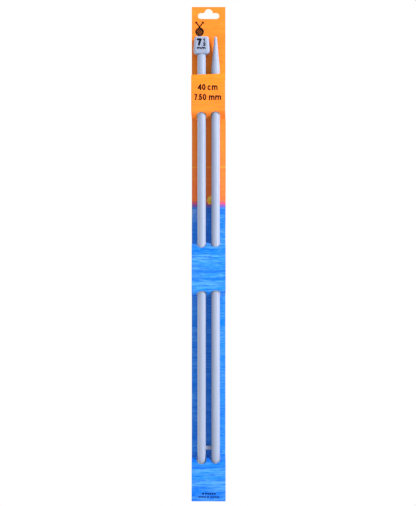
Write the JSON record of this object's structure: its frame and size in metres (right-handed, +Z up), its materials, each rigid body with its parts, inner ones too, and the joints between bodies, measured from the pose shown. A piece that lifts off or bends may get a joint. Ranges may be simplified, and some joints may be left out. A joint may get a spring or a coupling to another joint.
{
  "type": "straight knitting needles",
  "caption": "Straight single-pointed plastic knitting needles packed head to tail in a slit, printed hang card with a die-cut hang slot.",
  "frame": {"origin": "where a display peg carries the card: the top of the hang slot's hump, on the back card's front face", "axes": "+X to the right and +Y from front to back as the card is seen, +Z up along the needles, towards the hang slot"},
  "size_m": [0.0302, 0.0105, 0.4419],
  "materials": {
    "needle_plastic": "smooth grey-blue plastic with a soft sheen",
    "head_plastic": "moulded grey-blue plastic with a fine satin grain",
    "spacer_plastic": "moulded grey-blue plastic",
    "back_board": "coated board, printed with a sunset on the front, plain on the back",
    "front_board": "coated board, printed with a sunset over a brushed blue sea"
  },
  "bodies": {
    "card": {"back_card": "back_board", "front_sleeve": "front_board", "needle_spacer": "spacer_plastic"},
    "left_needle": {"left_needle_shaft": "needle_plastic", "left_needle_head": "head_plastic"},
    "right_needle": {"right_needle_shaft": "needle_plastic", "right_needle_head": "head_plastic"}
  },
  "joints": [
    {"name": "left_needle_slide", "type": "slide", "parent": "card", "child": "left_needle", "axis": [0, 0, 1], "range_m": [-0.015, 0.368]},
    {"name": "right_needle_slide", "type": "slide", "parent": "card", "child": "right_needle", "axis": [0, 0, -1], "range_m": [0, 0.418]}
  ]
}
